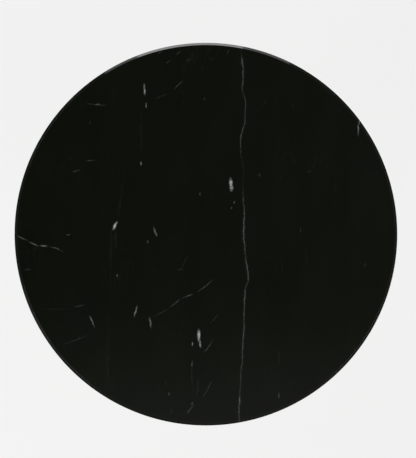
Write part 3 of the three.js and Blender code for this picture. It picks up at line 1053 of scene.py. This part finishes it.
def cover_line(offset):
    """Points up the trumpet, moved inwards by an offset square to the sheet."""
    points = []
    for step in range(COVER_STEPS + 1):
        share = (step / COVER_STEPS) ** COVER_CROWDING
        radius = neck_radius + (cover_high.x - neck_radius) * (1 - share) ** COVER_FLARE
        points.append(Vector((radius, COVER_RIM + (cover_high.z - COVER_RIM) * share)))
    moved = []
    for i, point in enumerate(points):
        along = (points[min(i + 1, COVER_STEPS)] - points[max(i - 1, 0)]).normalized()
        moved.append((point.x - along.y * offset, point.y + along.x * offset))
    return moved


outside = cover_line(0)
inside = cover_line(COVER_WALL)
inside[0] = (cover_high.x - COVER_WALL, inside[0][1])
inside[-1] = (neck_radius - COVER_WALL, cover_high.z)
cover = turned(
    "trumpet_cover",
    eased(
        [
            (cover_high.x - COVER_WALL, cover_low.z, 0.0008),
            (cover_high.x, cover_low.z, 0.0008),
            (*outside[0], 0.0030),
            *outside[1:],
            *reversed(inside),
        ]
    ),
    224,
)
cover.data.materials.append(powder_coat)
smooth(cover)
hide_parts("base_cover")
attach(cover, "table")


# ---- Collar ---------------------------------------------------------------------------------------
# A turned steel ring with a brushed face that closes the joint between the cover's neck and the tube.
# A grub screw at its back grips the tube.

COLLAR_CHAMFER = 0.0015
GRUB_RADIUS = 0.002
TOWARDS_BACK = (math.radians(-90), 0, 0)  # turns a piece made along Z to lie along +Y


def brushed_steel():
    """Lathe-turned steel: fine bright lines that run round the ring."""
    finish, tree, sockets, place = new_finish("brushed_steel", 0.3, metallic=1.0)
    height = node(tree, "SeparateXYZ", {"Vector": place}).outputs["Z"]
    flat = combine_vectors(tree, "MULTIPLY", place, (1, 1, 0))
    radius = node(tree, "VectorMath", {0: flat}, operation="LENGTH").outputs["Value"]
    lathe = node(tree, "CombineXYZ", {"X": radius, "Z": height}).outputs["Vector"]
    lines = noise(tree, lathe, 2600, detail=4, rough=0.7)
    smear = noise(tree, place, 45, detail=3)
    colour(tree, sockets, graded(tree, lines), (0.60, 0.60, 0.59, 1), (0.44, 0.44, 0.43, 1))
    rough = graded(tree, lines, 0.22, 0.34)
    rough = combine(tree, "ADD", rough, graded(tree, smear, 0, 0.06))
    tree.links.new(rough, sockets["Roughness"])
    bump(tree, sockets, lines, 0.00003)
    return finish


collar_low, collar_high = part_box("collar_ring")
collar_middle = (collar_low.z + collar_high.z) / 2
collar = turned(
    "steel_collar",
    eased(
        [
            (tube_radius + SEAM, collar_low.z, 0.0003),
            (collar_high.x - COLLAR_CHAMFER / 2, collar_low.z, 0.0003),
            (collar_high.x, collar_low.z + COLLAR_CHAMFER / 2, 0.0003),
            (collar_high.x, collar_high.z - COLLAR_CHAMFER, 0.0003),
            (collar_high.x - COLLAR_CHAMFER, collar_high.z, 0.0003),
            (tube_radius + SEAM, collar_high.z, 0.0003),
        ],
        steps=3,
    ),
    160,
)
grub_path = straight_bit(GRUB_RADIUS + SEAM, tube_radius - CUT_PAST, collar_high.x + CUT_PAST)
grub_hole = turned("bit", grub_path, 32)
grub_hole.rotation_euler = TOWARDS_BACK
grub_hole.location = (0, 0, collar_middle)
collar.data.materials.append(brushed_steel())
drill(collar, [grub_hole])
smooth(collar)
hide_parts("collar_ring")
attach(collar, "table")


# ---- Grub screw -----------------------------------------------------------------------------------
# A headless M4 screw with a hexagon socket, driven in at the back of the collar until its cup point
# bites the tube.

GRUB_PITCH = 0.0007
GRUB_SOCKET_ACROSS = 0.002
GRUB_SOCKET_DEPTH = 0.002
GRUB_SOCKET_CONE = 0.0003  # the drill's point below the socket
GRUB_CUP = {"rim": GRUB_RADIUS * 0.55, "deep": 0.0004}
GRUB_THREAD_START = 0.0002

grub_low, grub_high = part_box("collar_grub_screw")


def grub_outline(angle):
    socket = hex_reach(GRUB_SOCKET_ACROSS, angle)
    return [
        (0, grub_low.y + GRUB_CUP["deep"]),
        (GRUB_CUP["rim"], grub_low.y),
        *threaded(GRUB_RADIUS, GRUB_PITCH, grub_low.y + GRUB_THREAD_START, grub_high.y, angle),
        (socket, grub_high.y),
        (socket, grub_high.y - GRUB_SOCKET_DEPTH),
        (0, grub_high.y - GRUB_SOCKET_DEPTH - GRUB_SOCKET_CONE),
    ]


grub = turned("grub_screw", grub_outline, 24)
grub.rotation_euler = TOWARDS_BACK
grub.location = (0, 0, collar_middle)
grub.data.materials.append(zinc)
smooth(grub)
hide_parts("collar_grub_screw")
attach(grub, "table")


# ---- Foot weight ----------------------------------------------------------------------------------
# A grey-iron casting under the cover that keeps the table from tipping, painted with primer only. Its
# spigot centres the tube, and four tapped holes take the levelling glides.

WEIGHT_CROWN = 0.042
WEIGHT_CROWN_RADIUS = 0.165
WEIGHT_COVER_GAP = 0.0056
WEIGHT_WEB = 0.036
WEIGHT_POCKET = 0.020
DOME_STEPS = 24
TAPPED_M10 = 0.0053


def cast_iron():
    """Primed sand casting: a dull dark skin with the sand's grain and a few shallow pits."""
    finish, tree, sockets, place = new_finish("primed_iron", 0.7)
    sand = noise(tree, place, 520, detail=4, rough=0.6)
    lumps = noise(tree, place, 60, detail=3)
    pits = node(tree, "TexVoronoi", {"Vector": place, "Scale": 160}).outputs["Distance"]
    pits = spread(tree, pits, 0.05, 0.22)
    colour(tree, sockets, graded(tree, lumps), (0.030, 0.031, 0.034, 1), (0.046, 0.044, 0.043, 1))
    roughen(tree, sockets, sand, 0.6, 0.85)
    relief = combine(tree, "MULTIPLY", sand, 0.4)
    for lay, share in ((pits, 0.3), (lumps, 0.5)):
        relief = combine(tree, "ADD", relief, combine(tree, "MULTIPLY", lay, share))
    bump(tree, sockets, relief, 0.0006)
    return finish


weight_low, weight_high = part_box("base_weight")
dome = []
for step in range(DOME_STEPS + 1):
    radius = weight_high.x + (WEIGHT_CROWN_RADIUS - weight_high.x) * step / DOME_STEPS
    share = (radius - neck_radius) / (cover_high.x - neck_radius)
    above = COVER_RIM + (cover_high.z - COVER_RIM) * (1 - share ** (1 / COVER_FLARE))
    dome.append((radius, min(above - WEIGHT_COVER_GAP, WEIGHT_CROWN)))
weight = turned(
    "iron_weight",
    eased(
        [
            (WEIGHT_POCKET, weight_low.z, 0.001),
            (weight_high.x, weight_low.z, 0.0015),
            *dome,
            (SPIGOT_RADIUS, WEIGHT_CROWN, 0.0002),
            (SPIGOT_RADIUS, weight_high.z, 0.002),
            (WEB["bore"], weight_high.z, 0.0005),
            (WEB["bore"], WEIGHT_WEB),
            (WEIGHT_POCKET, WEIGHT_WEB, 0.002),
        ]
    ),
    128,
)
glide_hole = straight_bit(TAPPED_M10, weight_low.z - CUT_PAST, WEIGHT_CROWN + CUT_PAST)
weight.data.materials.append(cast_iron())
drill(weight, drill_bits(numbered("glide_stem", 4), glide_hole))
smooth(weight)
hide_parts("base_weight")
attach(weight, "table")


# ---- Tie rod, nuts and washers --------------------------------------------------------------------
# A zinc-plated M16 rod down the middle of the column, threaded at both ends. Its nuts pull the head
# and the weight together, with the tube clamped between them.

M16_RADIUS = 0.008
M16_PITCH = 0.002
M16_ACROSS = 0.024
ROD_THREAD = 0.045
ROD_RUNOUT = 0.001
ROD_SHANK = M16_RADIUS - 0.0006  # a little thinner than the threads at its ends
NUT_SINK = 0.0006

rod_low, rod_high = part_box("tie_rod")


def rod_outline(angle):
    return [
        (0, rod_low.z),
        *threaded(M16_RADIUS, M16_PITCH, rod_low.z, rod_low.z + ROD_THREAD, angle),
        (ROD_SHANK, rod_low.z + ROD_THREAD + ROD_RUNOUT),
        (ROD_SHANK, rod_high.z - ROD_THREAD - ROD_RUNOUT),
        *threaded(M16_RADIUS, M16_PITCH, rod_high.z - ROD_THREAD, rod_high.z, angle),
        (0, rod_high.z),
    ]


rod = turned("steel_tie_rod", rod_outline, 32)
rod.data.materials.append(zinc)
smooth(rod)
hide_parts("tie_rod")
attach(rod, "table")


def nut_outline(low, high, angle):
    bore = M16_RADIUS + SEAM
    return [
        (bore, low + NUT_SINK),
        (bore + NUT_SINK, low),
        *hexed(M16_ACROSS, low, high, angle),
        (bore + NUT_SINK, high),
        (bore, high - NUT_SINK),
    ]


for end in ("top", "bottom"):
    nut_low, nut_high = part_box(f"tie_rod_{end}_nut")
    nut = turned(f"hex_nut_{end}", lambda angle: nut_outline(nut_low.z, nut_high.z, angle), 48)
    nut.data.materials.append(zinc)
    smooth(nut)
    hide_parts(f"tie_rod_{end}_nut")
    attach(nut, "table")

    rod_washer_low, rod_washer_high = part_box(f"tie_rod_{end}_washer")
    rod_washer = turned(
        f"rod_washer_{end}",
        eased(
            [
                (M16_RADIUS + SEAM, rod_washer_low.z, 0.0003),
                (rod_washer_high.x, rod_washer_low.z, 0.0005),
                (rod_washer_high.x, rod_washer_high.z, 0.0003),
                (M16_RADIUS + SEAM, rod_washer_high.z, 0.0003),
            ],
            steps=3,
        ),
        64,
    )
    rod_washer.data.materials.append(zinc)
    smooth(rod_washer)
    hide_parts(f"tie_rod_{end}_washer")
    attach(rod_washer, "table")


# ---- Levelling glides -----------------------------------------------------------------------------
# Four M10 stems that screw into the weight, each with a hexagon for a spanner and a round foot that
# snaps into a moulded black nylon pad. Turning the stem raises that corner of the foot.

PAD_FLOOR = 0.0035
PAD_LIP = 0.0016
PAD_LIP_REACH = 0.001
PAD_CHAMFER = 0.0015
STEM_FOOT = {"radius": 0.009, "height": 0.0028, "edge": 0.0004}
STEM_NECK = 0.005
STEM_HEX_BOTTOM = 0.009
M10_RADIUS = 0.005
M10_PITCH = 0.0015
M10_ACROSS = 0.017


def moulded_nylon():
    """Black nylon straight from the mould: matt, finely grained, a little scuffed."""
    finish, tree, sockets, place = new_finish("moulded_nylon", 0.55)
    grain = noise(tree, place, 1300, detail=3)
    scuff = noise(tree, place, 110, detail=5, rough=0.7)
    worn = spread(tree, scuff, 0.4, 0.75)
    colour(tree, sockets, worn, (0.013, 0.013, 0.014, 1), (0.024, 0.024, 0.025, 1))
    roughen(tree, sockets, scuff, 0.46, 0.66)
    bump(tree, sockets, grain, 0.00005)
    return finish


pad_low, pad_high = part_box("glide_pad_1")
pad_radius = (pad_high.x - pad_low.x) / 2
socket_radius = STEM_FOOT["radius"] + SEAM
pad = turned(
    "nylon_pad",
    eased(
        [
            (0, pad_low.z),
            (pad_radius - PAD_CHAMFER, pad_low.z, 0.0004),
            (pad_radius, pad_low.z + PAD_CHAMFER, 0.0008),
            (pad_radius, pad_high.z - PAD_CHAMFER * 2, 0.0016),
            (pad_radius - PAD_CHAMFER * 2, pad_high.z, 0.0012),
            (socket_radius - PAD_LIP_REACH, pad_high.z, 0.0004),
            (socket_radius - PAD_LIP_REACH, pad_high.z - PAD_LIP),
            (socket_radius, pad_high.z - PAD_LIP),
            (socket_radius, pad_low.z + PAD_FLOOR),
            (0, pad_low.z + PAD_FLOOR),
        ],
        steps=4,
    ),
    64,
)
pad.data.materials.append(moulded_nylon())
smooth(pad)
placed_copies("nylon_pad", pad, numbered("glide_pad", 4), numbered("pad", 4))

stem_low, stem_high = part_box("glide_stem_1")
stem_hex_top = weight_low.z - SEAM


def stem_outline(angle):
    foot, edge = STEM_FOOT["radius"], STEM_FOOT["edge"]
    foot_top = stem_low.z + STEM_FOOT["height"]
    return [
        (0, stem_low.z),
        (foot - edge, stem_low.z),
        (foot, stem_low.z + edge),
        (foot, foot_top - edge),
        (foot - edge, foot_top),
        (STEM_NECK, foot_top),
        (STEM_NECK, STEM_HEX_BOTTOM),
        *hexed(M10_ACROSS, STEM_HEX_BOTTOM, stem_hex_top, angle),
        *threaded(M10_RADIUS, M10_PITCH, stem_hex_top, stem_high.z, angle),
        (0, stem_high.z),
    ]


stem = turned("glide_screw", stem_outline, 48)
stem.data.materials.append(zinc)
smooth(stem)
placed_copies("glide_screw", stem, numbered("glide_stem", 4), numbered("stem", 4))
